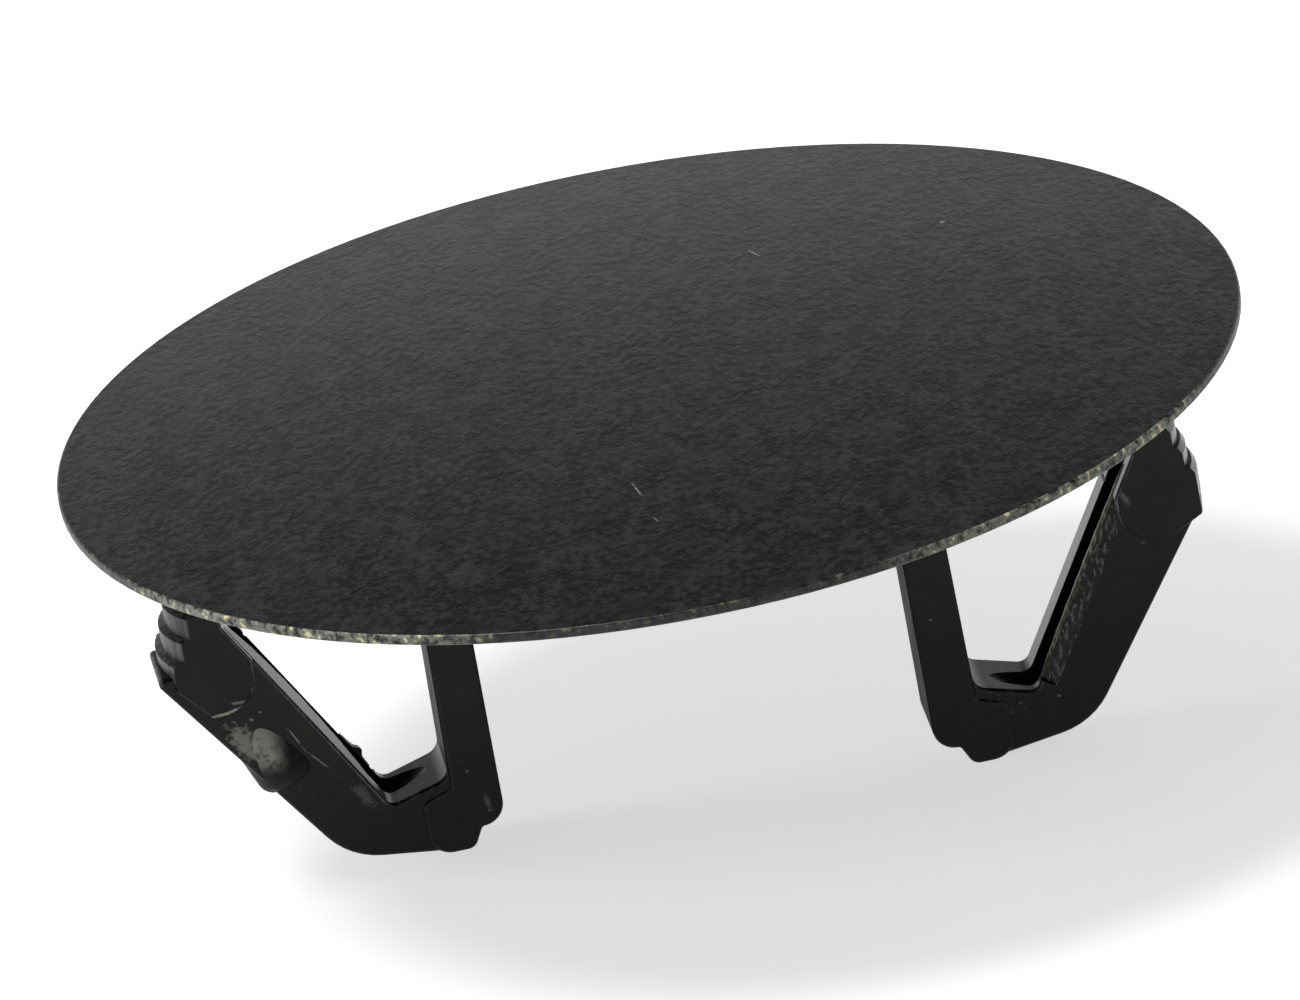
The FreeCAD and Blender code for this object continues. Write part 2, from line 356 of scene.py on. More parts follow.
@dataclass(frozen=True)
class RimPaintedHighlight:
    """The same nylon along the rim, with a painted highlight: pale mottle and glints drawn at the left
    and right front, where the rim catches the light.
    """

    base: str = "161616"
    rim_highlight: str = "85877c"
    rim_glint: str = "d9d3a4"
    rim_mottle_mm: float = 0.20
    rim_glint_mm: float = 0.20
    highlight_from_mm: float = 4.4
    highlight_to_mm: float = 6.4
    dim_from_mm: float = 12.6
    dim_to_mm: float = 13.8
    unlit_share: float = 0.15
    highlight_low: float = 0.34
    highlight_high: float = 0.60
    glint_low: float = 0.62
    glint_high: float = 0.70
    roughness: float = 0.42
    ior: float = 1.53
    specular: float = 0.26
    bump_mm: float = 0.02
    bump_strength: float = 0.6

    def make(self) -> bpy.types.Material:
        """Build the rim's material.

        Returns:
            The material.
        """
        material, tree = new_material("nylon_rim_painted_highlight")
        where = add_node(tree, "ShaderNodeTexCoord").outputs["Object"]
        across = add_node(tree, "ShaderNodeSeparateXYZ", Vector=where).outputs["X"]
        aside = add_node(tree, "ShaderNodeMath", {"operation": "ABSOLUTE"}, i0=across).outputs[0]
        # Painted highlight: full from |x| 6.4 to 12.6 mm at the rim's left and right front, down to a
        # small share in the middle and at the ends
        side = add_node(
            tree,
            "ShaderNodeMapRange",
            SMOOTH,
            Value=aside,
            From_Min=self.highlight_from_mm * MM,
            From_Max=self.highlight_to_mm * MM,
            To_Min=self.unlit_share,
            To_Max=1.0,
        ).outputs["Result"]
        end = add_node(
            tree,
            "ShaderNodeMapRange",
            SMOOTH,
            Value=aside,
            From_Min=self.dim_from_mm * MM,
            From_Max=self.dim_to_mm * MM,
            To_Min=1.0,
            To_Max=self.unlit_share,
        ).outputs["Result"]
        side = add_node(tree, "ShaderNodeMath", MULTIPLY, i0=side, i1=end).outputs[0]
        rim_mottle = add_node(
            tree,
            "ShaderNodeTexNoise",
            Vector=where,
            Scale=1 / (self.rim_mottle_mm * MM),
            Detail=FINE_DETAIL,
            Roughness=FINE_ROUGHNESS,
        ).outputs["Fac"]
        rim_glint = add_node(
            tree,
            "ShaderNodeTexNoise",
            Vector=where,
            Scale=1 / (self.rim_glint_mm * MM),
            Detail=SPECK_DETAIL,
        ).outputs["Fac"]
        rim_highlight = add_node(
            tree,
            "ShaderNodeMapRange",
            SMOOTH,
            Value=rim_mottle,
            From_Min=self.highlight_low,
            From_Max=self.highlight_high,
        ).outputs["Result"]
        rim_highlight = add_node(tree, "ShaderNodeMath", MULTIPLY, i0=rim_highlight, i1=side).outputs[0]
        spots = add_node(
            tree,
            "ShaderNodeMapRange",
            SMOOTH,
            Value=rim_glint,
            From_Min=self.glint_low,
            From_Max=self.glint_high,
        ).outputs["Result"]
        spots = add_node(tree, "ShaderNodeMath", MULTIPLY, i0=spots, i1=side).outputs[0]
        # Painted highlight: pale mottle, then bright glints, over the rim's dark nylon
        colour = add_node(
            tree, "ShaderNodeMix", COLOUR, i0=rim_highlight, i6=srgb(self.base), i7=srgb(self.rim_highlight)
        ).outputs[2]
        colour = add_node(
            tree, "ShaderNodeMix", COLOUR, i0=spots, i6=colour, i7=srgb(self.rim_glint)
        ).outputs[2]
        bump = add_node(
            tree,
            "ShaderNodeBump",
            Strength=self.bump_strength,
            Distance=self.bump_mm * MM,
            Height=rim_mottle,
        ).outputs["Normal"]
        shader = add_node(
            tree,
            "ShaderNodeBsdfPrincipled",
            Base_Color=colour,
            Roughness=self.roughness,
            IOR=self.ior,
            Specular_IOR_Level=self.specular,
            Normal=bump,
        )
        add_node(tree, "ShaderNodeOutputMaterial", Surface=shader.outputs["BSDF"])
        return material


@dataclass(frozen=True)
class SmoothNylon:
    """Nylon moulded against polished steel: deep black with a soft gloss and a few fine scuffs."""

    name: str = "smooth_nylon_leg"
    base: str = "070708"
    warm: str = "14100c"
    scuff: str = "24231f"
    scuff_mm: float = 0.12
    patch_mm: float = 1.3
    scuff_low: float = 0.54
    scuff_high: float = 0.80
    warm_low: float = 0.30
    warm_high: float = 0.55
    gloss_low: float = 0.3
    gloss_high: float = 0.7
    roughness_low: float = 0.24
    roughness_high: float = 0.40
    ior: float = 1.53
    specular: float = 0.16
    bump_mm: float = 0.006
    bump_strength: float = 0.4
    mark_colour: str = "a5a59d"
    marks: tuple[Mark, ...] = ()

    def make(self) -> bpy.types.Material:
        """Build the material of the smooth faces.

        Returns:
            The material.
        """
        material, tree = new_material(self.name)
        where = add_node(tree, "ShaderNodeTexCoord").outputs["Object"]
        patch = add_node(
            tree,
            "ShaderNodeTexNoise",
            Vector=where,
            Scale=1 / (self.patch_mm * MM),
            Detail=COARSE_DETAIL,
        ).outputs["Fac"]
        fine = add_node(
            tree,
            "ShaderNodeTexNoise",
            Vector=where,
            Scale=1 / (self.scuff_mm * MM),
            Detail=FINE_DETAIL,
            Roughness=FINE_ROUGHNESS,
        ).outputs["Fac"]
        warmth = add_node(
            tree,
            "ShaderNodeMapRange",
            SMOOTH,
            Value=patch,
            From_Min=self.warm_low,
            From_Max=self.warm_high,
        ).outputs["Result"]
        colour = add_node(
            tree, "ShaderNodeMix", COLOUR, i0=warmth, i6=srgb(self.warm), i7=srgb(self.base)
        ).outputs[2]
        spots = add_node(
            tree,
            "ShaderNodeMapRange",
            SMOOTH,
            Value=fine,
            From_Min=self.scuff_low,
            From_Max=self.scuff_high,
        ).outputs["Result"]
        colour = add_node(
            tree, "ShaderNodeMix", COLOUR, i0=spots, i6=colour, i7=srgb(self.scuff)
        ).outputs[2]
        colour = paint_marks(tree, where, colour, self.marks, self.mark_colour)
        gloss = add_node(
            tree,
            "ShaderNodeMapRange",
            Value=patch,
            From_Min=self.gloss_low,
            From_Max=self.gloss_high,
            To_Min=self.roughness_low,
            To_Max=self.roughness_high,
        ).outputs["Result"]
        bump = add_node(
            tree,
            "ShaderNodeBump",
            Strength=self.bump_strength,
            Distance=self.bump_mm * MM,
            Height=fine,
        ).outputs["Normal"]
        shader = add_node(
            tree,
            "ShaderNodeBsdfPrincipled",
            Base_Color=colour,
            Roughness=gloss,
            IOR=self.ior,
            Specular_IOR_Level=self.specular,
            Normal=bump,
        )
        add_node(tree, "ShaderNodeOutputMaterial", Surface=shader.outputs["BSDF"])
        return material


@dataclass(frozen=True)
class ScuffedBevel:
    """The bevels in the legs, hatched by the pull out of the mould: dark, with short pale strokes."""

    base: str = "141415"
    stroke: str = "8c8c85"
    stroke_mm: float = 0.11
    stretch: float = 2.4
    tilt_deg: float = 38.0
    stroke_low: float = 0.48
    stroke_high: float = 0.70
    roughness: float = 0.40
    ior: float = 1.53
    specular: float = 0.25
    bump_mm: float = 0.03
    bump_strength: float = 0.7

    def make(self) -> bpy.types.Material:
        """Build the bevels' material.

        Returns:
            The material.
        """
        material, tree = new_material("scuffed_nylon_bevel")
        where = add_node(tree, "ShaderNodeTexCoord").outputs["Object"]
        drawn = add_node(
            tree,
            "ShaderNodeMapping",
            Vector=where,
            Rotation=(0.0, math.radians(self.tilt_deg), 0.0),
            Scale=(1.0, 1.0, 1 / self.stretch),
        ).outputs["Vector"]
        stroke = add_node(
            tree,
            "ShaderNodeTexNoise",
            Vector=drawn,
            Scale=1 / (self.stroke_mm * MM),
            Detail=COARSE_DETAIL,
            Roughness=FINE_ROUGHNESS,
        ).outputs["Fac"]
        share = add_node(
            tree,
            "ShaderNodeMapRange",
            SMOOTH,
            Value=stroke,
            From_Min=self.stroke_low,
            From_Max=self.stroke_high,
        ).outputs["Result"]
        colour = add_node(
            tree, "ShaderNodeMix", COLOUR, i0=share, i6=srgb(self.base), i7=srgb(self.stroke)
        ).outputs[2]
        bump = add_node(
            tree,
            "ShaderNodeBump",
            Strength=self.bump_strength,
            Distance=self.bump_mm * MM,
            Height=stroke,
        ).outputs["Normal"]
        shader = add_node(
            tree,
            "ShaderNodeBsdfPrincipled",
            Base_Color=colour,
            Roughness=self.roughness,
            IOR=self.ior,
            Specular_IOR_Level=self.specular,
            Normal=bump,
        )
        add_node(tree, "ShaderNodeOutputMaterial", Surface=shader.outputs["BSDF"])
        return material


@dataclass(frozen=True)
class GateRampPaintedHighlight:
    """The gate stub's upper half, with a painted highlight where the light falls on its ramp: pale
    grey mottle over dark nylon, rough.
    """

    ramp_highlight: str = "a3a399"
    stub_dark: str = "131315"
    ramp_mottle_mm: float = 0.30
    highlight_above_mm: float = -7.75
    highlight_left_of_mm: float = -10.45
    fade_mm: float = 0.55
    patchy_low: float = 0.22
    patchy_high: float = 0.52
    roughness: float = 0.55
    ior: float = 1.53
    specular: float = 0.15
    bump_mm: float = 0.05
    bump_strength: float = 0.6

    def make(self) -> bpy.types.Material:
        """Build the stub's material, whose painted highlight turns back to smooth black below.

        Returns:
            The material.
        """
        material, tree = new_material("gate_ramp_painted_highlight")
        where = add_node(tree, "ShaderNodeTexCoord").outputs["Object"]
        split = add_node(tree, "ShaderNodeSeparateXYZ", Vector=where).outputs
        ramp_mottle = add_node(
            tree,
            "ShaderNodeTexNoise",
            Vector=where,
            Scale=1 / (self.ramp_mottle_mm * MM),
            Detail=FINE_DETAIL,
            Roughness=FINE_ROUGHNESS,
        ).outputs["Fac"]
        # Painted highlight: it fades in over 0.55 mm above z -7.75 mm and outward of x -10.45 mm,
        # patchy with the mottle
        upper = add_node(
            tree,
            "ShaderNodeMapRange",
            SMOOTH,
            Value=split["Z"],
            From_Min=self.highlight_above_mm * MM,
            From_Max=(self.highlight_above_mm + self.fade_mm) * MM,
        ).outputs["Result"]
        outer = add_node(
            tree,
            "ShaderNodeMapRange",
            SMOOTH,
            Value=split["X"],
            From_Min=self.highlight_left_of_mm * MM,
            From_Max=(self.highlight_left_of_mm - self.fade_mm) * MM,
        ).outputs["Result"]
        upper = add_node(tree, "ShaderNodeMath", MULTIPLY, i0=upper, i1=outer).outputs[0]
        patchy = add_node(
            tree,
            "ShaderNodeMapRange",
            SMOOTH,
            Value=ramp_mottle,
            From_Min=self.patchy_low,
            From_Max=self.patchy_high,
        ).outputs["Result"]
        share = add_node(tree, "ShaderNodeMath", MULTIPLY, i0=upper, i1=patchy).outputs[0]
        colour = add_node(
            tree, "ShaderNodeMix", COLOUR, i0=share, i6=srgb(self.stub_dark), i7=srgb(self.ramp_highlight)
        ).outputs[2]
        bump = add_node(
            tree,
            "ShaderNodeBump",
            Strength=self.bump_strength,
            Distance=self.bump_mm * MM,
            Height=ramp_mottle,
        ).outputs["Normal"]
        shader = add_node(
            tree,
            "ShaderNodeBsdfPrincipled",
            Base_Color=colour,
            Roughness=self.roughness,
            IOR=self.ior,
            Specular_IOR_Level=self.specular,
            Normal=bump,
        )
        add_node(tree, "ShaderNodeOutputMaterial", Surface=shader.outputs["BSDF"])
        return material


@dataclass(frozen=True)
class StreakedNylonSheen:
    """Glossy nylon with fine light draw lines over a grey base, the grey and the lines partly painted
    sheen for the light these faces catch.
    """

    name: str = "nylon_rail_painted_sheen"
    base: str = "23232a"
    drawn: str = "62636e"
    line_mm: float = 0.10
    stretch: float = 9.0
    tilt_deg: float = 30.0
    drawn_low: float = 0.42
    drawn_high: float = 0.66
    roughness: float = 0.30
    ior: float = 1.53
    specular: float = 0.5
    bump_mm: float = 0.012
    bump_strength: float = 0.5

    def make(self) -> bpy.types.Material:
        """Build the material of the rubbed faces.

        Returns:
            The material.
        """
        material, tree = new_material(self.name)
        where = add_node(tree, "ShaderNodeTexCoord").outputs["Object"]
        along = add_node(
            tree,
            "ShaderNodeMapping",
            Vector=where,
            Rotation=(0.0, math.radians(-self.tilt_deg), 0.0),
            Scale=(1.0, 1.0, 1 / self.stretch),
        ).outputs["Vector"]
        line = add_node(
            tree,
            "ShaderNodeTexNoise",
            Vector=along,
            Scale=1 / (self.line_mm * MM),
            Detail=FINE_DETAIL,
            Roughness=FINE_ROUGHNESS,
        ).outputs["Fac"]
        share = add_node(
            tree,
            "ShaderNodeMapRange",
            SMOOTH,
            Value=line,
            From_Min=self.drawn_low,
            From_Max=self.drawn_high,
        ).outputs["Result"]
        colour = add_node(
            tree, "ShaderNodeMix", COLOUR, i0=share, i6=srgb(self.base), i7=srgb(self.drawn)
        ).outputs[2]
        bump = add_node(
            tree,
            "ShaderNodeBump",
            Strength=self.bump_strength,
            Distance=self.bump_mm * MM,
            Height=line,
        ).outputs["Normal"]
        shader = add_node(
            tree,
            "ShaderNodeBsdfPrincipled",
            Base_Color=colour,
            Roughness=self.roughness,
            IOR=self.ior,
            Specular_IOR_Level=self.specular,
            Normal=bump,
        )
        add_node(tree, "ShaderNodeOutputMaterial", Surface=shader.outputs["BSDF"])
        return material


class Surface(Enum):
    """The plug's surfaces, each with a finish of its own."""

    LEG = 0
    COVER = 1
    RIM = 2
    BEVEL = 3
    GATE = 4
    UNDERSIDE = 5
    RAIL = 6
    CHANNEL = 7
    WEB_TOP = 8
    WORN_STEPS = 9
    CLEAN_STEPS = 10
    ARM_SIDE = 11


class LegSide(Enum):
    """How far the parts of a leg reach to each side of its middle, in millimetres."""

    CHEEK = 1.20
    FULL_WIDTH = 1.15
    WEB = 1.12
    SPRING = 1.075


@dataclass(frozen=True)
class SideMark:
    """A light mark on the side of a leg that the camera sees. Sizes are in millimetres.

    It is placed by its x and z on the plug, and its y follows from the leg's side. Its half size is
    its half length and half height, before the turn.
    """

    x: float
    z: float
    side: LegSide
    strength: float
    half_size: tuple[float, float]
    turn_deg: float = 25.0
    half_depth: float = 0.20


@dataclass(frozen=True)
class SpringLeg:
    """Where a spring leg's surfaces lie, in the right leg's own upright frame, in millimetres.

    The left leg is the right one turned half round, and each stands a little turned.
    """

    turn_deg: float = 4.0
    line: float = 9.0
    half_width: float = LegSide.FULL_WIDTH.value
    left_lift: float = 0.075
    foot_x: float = 8.230
    foot_z: float = -9.367
    arm_turn_deg: float = 30.12
    bend_z: float = -3.61
    bend_x: float = 11.57
    floor_slope_deg: float = 16.0
    channel_y: float = -0.20
    channel_half: float = 0.54
    outer_x: float = 9.700
    outer_z: float = -10.220
    outer_turn_deg: float = 34.82
    spring_half: float = LegSide.SPRING.value
    steps_x: float = 11.9
    steps_low: float = -4.9
    gate_low: float = -9.2
    gate_high: float = -5.8
    gate_x: float = 9.3
    web_low: float = -9.6
    web_high: float = -8.35
    arm_side_x: float = 7.0
    arm_side_low: float = -9.9
    arm_start: float = 8.18
    arm_deep: float = -0.7
    arm_proud: float = 0.08
    groove_skin: float = -0.02
    floor_skin: float = -0.03
    runout_x: float = 6.8
    flat_end: float = 0.999
    bevel_inward: tuple[float, float] = (0.5, 0.75)
    bevel_sideways: tuple[float, float] = (-0.9, -0.65)
    rail_inward: float = 0.4
    rail_upright: float = -0.6
    rail_high: float = -0.9
    web_x: tuple[float, float] = (6.4, 8.7)
    web_upward: float = 0.3
    gate_proud: float = 0.012
    steps_outward: float = 0.15
    side_facing: float = 0.7

    @staticmethod
    def is_between(value: float, limits: tuple[float, float]) -> bool:
        """Tell whether a value lies between two limits."""
        return limits[0] < value < limits[1]

    def to_leg(self, value: Vector, left: bool, is_place: bool) -> Vector:
        """Carry a place or a direction on the plug into the right leg's own frame.

        Args:
            value: the place in millimetres, or the direction.
            left: whether it is on the left leg.
            is_place: whether it is a place.

        Returns:
            The place or direction in the leg's frame.
        """
        back = Matrix.Rotation(math.radians(-self.turn_deg), 3, "Z")
        half_round = Matrix.Rotation(math.pi, 3, "Z")
        pivot = Vector((-self.line if left else self.line, -self.half_width, 0.0))
        if not is_place:
            moved = back @ value
            return half_round @ moved if left else moved
        moved = back @ (value - pivot) + pivot
        if left:
            moved = half_round @ moved
            moved.z -= self.left_lift
        return moved

    def to_plug(self, place: Vector, left: bool) -> Vector:
        """Carry a place in the right leg's own frame to its leg on the plug.

        Args:
            place: the place in the leg's frame, in millimetres.
            left: whether it goes to the left leg.

        Returns:
            The place on the plug, in millimetres.
        """
        turn = Matrix.Rotation(math.radians(self.turn_deg), 3, "Z")
        pivot = Vector((-self.line if left else self.line, -self.half_width, 0.0))
        moved = Matrix.Rotation(math.pi, 3, "Z") @ place if left else place.copy()
        if left:
            moved.z += self.left_lift
        return turn @ (moved - pivot) + pivot

    def place_mark(self, mark: SideMark) -> Mark:
        """Lay a mark on the side of its leg, which stands a little turned.

        Args:
            mark: the mark, placed by x and z.

        Returns:
            The mark at its full place.
        """
        past_line = mark.x - math.copysign(self.line, mark.x)
        side_y = past_line * math.tan(math.radians(self.turn_deg)) - mark.side.value
        half_length, half_height = mark.half_size
        return Mark(
            place=(mark.x, side_y, mark.z),
            turn=(0.0, mark.turn_deg, 0.0),
            half_size=(half_length, mark.half_depth, half_height),
            strength=mark.strength,
        )

    def surface_of(self, centre: Vector, normal: Vector) -> Surface:
        """Tell which surface of a leg a face belongs to.

        Args:
            centre: the face's middle on the plug, in millimetres.
            normal: the face's outward normal.

        Returns:
            The surface.
        """
        left = centre.x < 0
        place = self.to_leg(centre, left, True)
        aim = self.to_leg(normal, left, False)
        arm = math.radians(self.arm_turn_deg)
        inward = Vector((-math.cos(arm), 0.0, math.sin(arm)))
        slope = math.radians(self.floor_slope_deg)
        upward = Vector((math.sin(slope), 0.0, math.cos(slope)))
        outer = math.radians(self.outer_turn_deg)
        outward = Vector((math.cos(outer), 0.0, -math.sin(outer)))
        foot = Vector((self.foot_x, 0.0, self.foot_z))
        proud = (place - foot).dot(inward)
        if place.z > self.bend_z:
            proud = self.bend_x - place.x
        above_floor = (place - foot).dot(upward)
        facing = aim.dot(inward)
        over_channel = abs(place.y - self.channel_y) < self.channel_half
        in_channel = over_channel and abs(aim.y) < self.flat_end
        on_arm = place.x > self.arm_start and self.arm_deep < proud < self.arm_proud
        in_runout = self.runout_x < place.x < self.foot_x and place.z > self.foot_z
        if in_channel and in_runout and above_floor < self.floor_skin:
            return Surface.WEB_TOP
        if in_channel and on_arm and proud < self.groove_skin:
            return Surface.CHANNEL
        bevelled = self.is_between(facing, self.bevel_inward)
        if on_arm and bevelled and self.is_between(aim.y, self.bevel_sideways):
            return Surface.BEVEL
        above_bend = place.z > self.bend_z and aim.x < self.rail_upright
        if on_arm and place.z < self.rail_high and (facing > self.rail_inward or above_bend):
            return Surface.RAIL
        on_web = self.is_between(place.x, self.web_x) and self.web_low < place.z < self.web_high
        if on_web and aim.z > self.web_upward:
            return Surface.WEB_TOP
        if left and place.x > self.gate_x and self.gate_low < place.z < self.gate_high:
            beyond = (place - Vector((self.outer_x, 0.0, self.outer_z))).dot(outward)
            if place.y > self.spring_half + self.gate_proud or beyond > self.gate_proud:
                return Surface.GATE
        # The steps' outer faces: painted highlight, the right leg's drawn as a lit copy and the left's
        # as a dimmer one
        if place.x > self.steps_x and place.z > self.steps_low and aim.x > self.steps_outward:
            return Surface.CLEAN_STEPS if left else Surface.WORN_STEPS
        on_inner_arm = place.x < self.arm_side_x and place.z > self.arm_side_low
        if on_inner_arm and abs(aim.x) > self.side_facing:
            return Surface.ARM_SIDE
        return Surface.LEG


LEG_MARKS: tuple[SideMark, ...] = (
    # Left leg: a painted highlight, the pale patch where light falls on the ramp by the gate stub, and
    # two flecks above it
    SideMark(-11.54, -6.77, LegSide.CHEEK, 0.70, (0.750, 0.360), turn_deg=66.0, half_depth=0.70),
    SideMark(-11.27, -6.17, LegSide.FULL_WIDTH, 0.63, (0.076, 0.054)),
    SideMark(-11.01, -6.03, LegSide.FULL_WIDTH, 0.63, (0.060, 0.042)),
    # Left leg: scratches along the cheek's edge, down the outer arm and on the heel
    SideMark(-11.53, -5.59, LegSide.CHEEK, 0.55, (0.260, 0.060), turn_deg=-1.0),
    SideMark(-11.06, -5.30, LegSide.CHEEK, 0.60, (0.270, 0.060), turn_deg=-59.0),
    SideMark(-10.27, -6.93, LegSide.SPRING, 0.60, (0.450, 0.035), turn_deg=64.0),
    SideMark(-9.80, -7.65, LegSide.SPRING, 0.60, (0.460, 0.035), turn_deg=50.0),
    SideMark(-8.86, -8.83, LegSide.SPRING, 0.22, (0.550, 0.180), turn_deg=62.0),
    SideMark(-6.22, -8.74, LegSide.FULL_WIDTH, 0.42, (0.051, 0.036)),
    SideMark(-5.85, -9.71, LegSide.FULL_WIDTH, 0.30, (0.330, 0.100), turn_deg=84.0),
    # Right leg: flecks on the inner arm and the web
    SideMark(5.90, -6.81, LegSide.FULL_WIDTH, 0.56, (0.060, 0.042)),
    SideMark(6.85, -9.01, LegSide.WEB, 0.52, (0.043, 0.030)),
    SideMark(7.04, -9.11, LegSide.WEB, 0.52, (0.038, 0.027)),
    SideMark(7.24, -9.24, LegSide.WEB, 0.52, (0.043, 0.030)),
    SideMark(7.55, -9.11, LegSide.WEB, 0.52, (0.034, 0.024)),
    SideMark(7.75, -9.57, LegSide.WEB, 0.52, (0.051, 0.036)),
    SideMark(7.85, -9.70, LegSide.WEB, 0.52, (0.043, 0.030)),
    SideMark(7.49, -9.76, LegSide.WEB, 0.52, (0.038, 0.027)),
    SideMark(8.74, -9.59, LegSide.SPRING, 0.63, (0.076, 0.054)),
    # Right leg: scratches on the cheek and a long faint one down the inner arm
    SideMark(11.22, -4.64, LegSide.CHEEK, 0.35, (0.250, 0.100), turn_deg=60.0),
    SideMark(11.51, -6.01, LegSide.CHEEK, 0.35, (0.290, 0.050), turn_deg=36.0),
    SideMark(5.43, -6.79, LegSide.FULL_WIDTH, 0.30, (1.250, 0.050), turn_deg=90.0),
)


@dataclass
class PlugBody:
    """The moulding itself, as packed. Sizes are in millimetres."""

    rim_reach: float = 14.90
    cover_low: float = 0.24
    cover_facing: float = 0.25
    under_low: float = -0.02
    rim_level: float = 0.97
    leg: SpringLeg = SpringLeg()

    def surface_of(self, centre: Vector, normal: Vector) -> Surface:
        """Tell which surface a face belongs to.

        Args:
            centre: the face's middle, in millimetres.
            normal: the face's outward normal.

        Returns:
            The surface.
        """
        reach = math.hypot(centre.x, centre.y)
        if reach > self.rim_reach and centre.z > self.under_low and abs(normal.z) < self.rim_level:
            return Surface.RIM
        if centre.z > self.cover_low and normal.z > self.cover_facing:
            return Surface.COVER
        if centre.z > self.under_low:
            return Surface.UNDERSIDE
        return self.leg.surface_of(centre, normal)

    def dress(self, node: bpy.types.Object) -> None:
        """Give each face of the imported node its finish.

        Args:
            node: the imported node.
        """
        finishes = {
            Surface.LEG: SmoothNylon(marks=tuple(self.leg.place_mark(mark) for mark in LEG_MARKS)),
            Surface.COVER: GrainedCover(),
            Surface.RIM: RimPaintedHighlight(),
            Surface.BEVEL: ScuffedBevel(),
            Surface.GATE: GateRampPaintedHighlight(),
            Surface.UNDERSIDE: SmoothNylon(
                name="matt_nylon_underside", roughness_low=0.42, roughness_high=0.5
            ),
            # Partly painted reflection: the rails' grey-blue base and light streaks, paler than the
            # legs' black, stand for the bright backdrop they reflect; the streaks are also draw lines
            Surface.RAIL: StreakedNylonSheen(),
            # Painted reflection: the channel is drawn light lavender grey, far paler than the legs'
            # black, for the light seen in it
            Surface.CHANNEL: SmoothNylon(
                name="nylon_channel_painted_reflection", base="32313f", warm="2f2d38", specular=0.5
            ),
            # Partly painted reflection: the web tops carry a blue-grey cast and light streaks for the
            # pale sky light they reflect
            Surface.WEB_TOP: StreakedNylonSheen(
                name="nylon_web_painted_sheen",
                base="0f0f14",
                drawn="3a3b46",
                stretch=1.5,
                line_mm=0.22,
                roughness=0.38,
                specular=0.26,
            ),
            # Painted highlight: the right leg's steps drawn lighter grey with bright streaks, the
            # left's a dimmer copy of the same
            Surface.WORN_STEPS: StreakedNylonSheen(
                name="steps_painted_highlight", base="1a1a1b", drawn="6c6c68", stretch=3.0, line_mm=0.16
            ),
            Surface.CLEAN_STEPS: StreakedNylonSheen(
                name="steps_dimmer_painted_highlight",
                base="0e0e0f",
                drawn="4a4a47",
                stretch=5.0,
                line_mm=0.16,
                specular=0.25,
                roughness=0.4,
            ),
            Surface.ARM_SIDE: SmoothNylon(
                name="matt_nylon_arm_side",
                base="0c0c11",
                roughness_low=0.45,
                roughness_high=0.55,
                specular=0.04,
            ),
        }
        mesh = node.data
        mesh.materials.clear()
        for surface in Surface:
            mesh.materials.append(finishes[surface].make())
        counts = dict.fromkeys(Surface, 0)
        for face in mesh.polygons:
            surface = self.surface_of(face.center / MM, face.normal)
            face.material_index = surface.value
            counts[surface] += 1
        for surface, count in counts.items():
            LOG.info("%s: %d faces of %s", node.name, count, surface.name.lower())


@dataclass(frozen=True)
class MouldFlash:
    """Thin skin of nylon squeezed out along a leg's inner face. Sizes are in millimetres.

    It lies along the face from one distance above the web to another, with an uneven free edge.
    """

    name: str
    left: bool
    start: float
    end: float
    fixed_y: float
    free_y: float
    proud: float = 0.02
    sunk: float = 0.03
    ragged: float = 0.04
    nub_at: float = 0.0
    nub_height: float = 0.0
    nub_length: float = 0.13
    edge_share: float = 0.8
    end_share: float = 0.6
    waves: tuple[tuple[float, float], ...] = ((0.69, 0.5), (0.265, 0.3), (0.123, 0.2))
    steps: int = 96
    leg: SpringLeg = SpringLeg()

    def ring(self, share: float) -> list[Vector]:
        """Section of the flash at a share of its length, as four corners in the leg's frame.

        Args:
            share: 0 at its start and 1 at its end.

        Returns:
            The corners, in order around the section.
        """
        arm = math.radians(self.leg.arm_turn_deg)
        along = Vector((math.sin(arm), 0.0, math.cos(arm)))
        inward = Vector((-math.cos(arm), 0.0, math.sin(arm)))
        distance = self.start + (self.end - self.start) * share
        wave = 0.0
        for length, share_of_wave in self.waves:
            wave += math.sin(distance * math.tau / length) * share_of_wave
        taper = math.sqrt(max(0.0, math.sin(math.pi * share)))
        free_y = self.fixed_y + (self.free_y - self.fixed_y + wave * self.ragged) * taper
        nub = self.nub_height * math.exp(-(((distance - self.nub_at) / self.nub_length) ** 2))
        top = self.proud * (self.end_share + (1 - self.end_share) * taper) + nub
        place = Vector((self.leg.foot_x, 0.0, self.leg.foot_z)) + along * distance
        section = (
            (self.fixed_y, -self.sunk),
            (self.fixed_y, top),
            (free_y, top * self.edge_share),
            (free_y, -self.sunk),
        )
        return [place + inward * lift + Vector((0.0, side, 0.0)) for side, lift in section]

    def build(self, finish: bpy.types.Material) -> bpy.types.Object:
        """Make the flash and fasten it to the moulding.

        Args:
            finish: its material.

        Returns:
            The piece.
        """
        form = bmesh.new()
        rings = []
        for step in range(self.steps + 1):
            places = [self.leg.to_plug(corner, self.left) for corner in self.ring(step / self.steps)]
            rings.append([form.verts.new(place * MM) for place in places])
        for before, after in zip(rings, rings[1:]):
            for index in range(len(before)):
                follow = (index + 1) % len(before)
                form.faces.new((before[index], before[follow], after[follow], after[index]))
        form.faces.new(rings[0][::-1])
        form.faces.new(rings[-1])
        bmesh.ops.recalc_face_normals(form, faces=form.faces)
        mesh = bpy.data.meshes.new(self.name)
        form.to_mesh(mesh)
        form.free()
        mesh.materials.append(finish)
        piece = bpy.data.objects.new(self.name, mesh)
        bpy.context.scene.collection.objects.link(piece)
        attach(piece, "root")
        LOG.info("%s: %.1f mm long", self.name, self.end - self.start)
        return piece


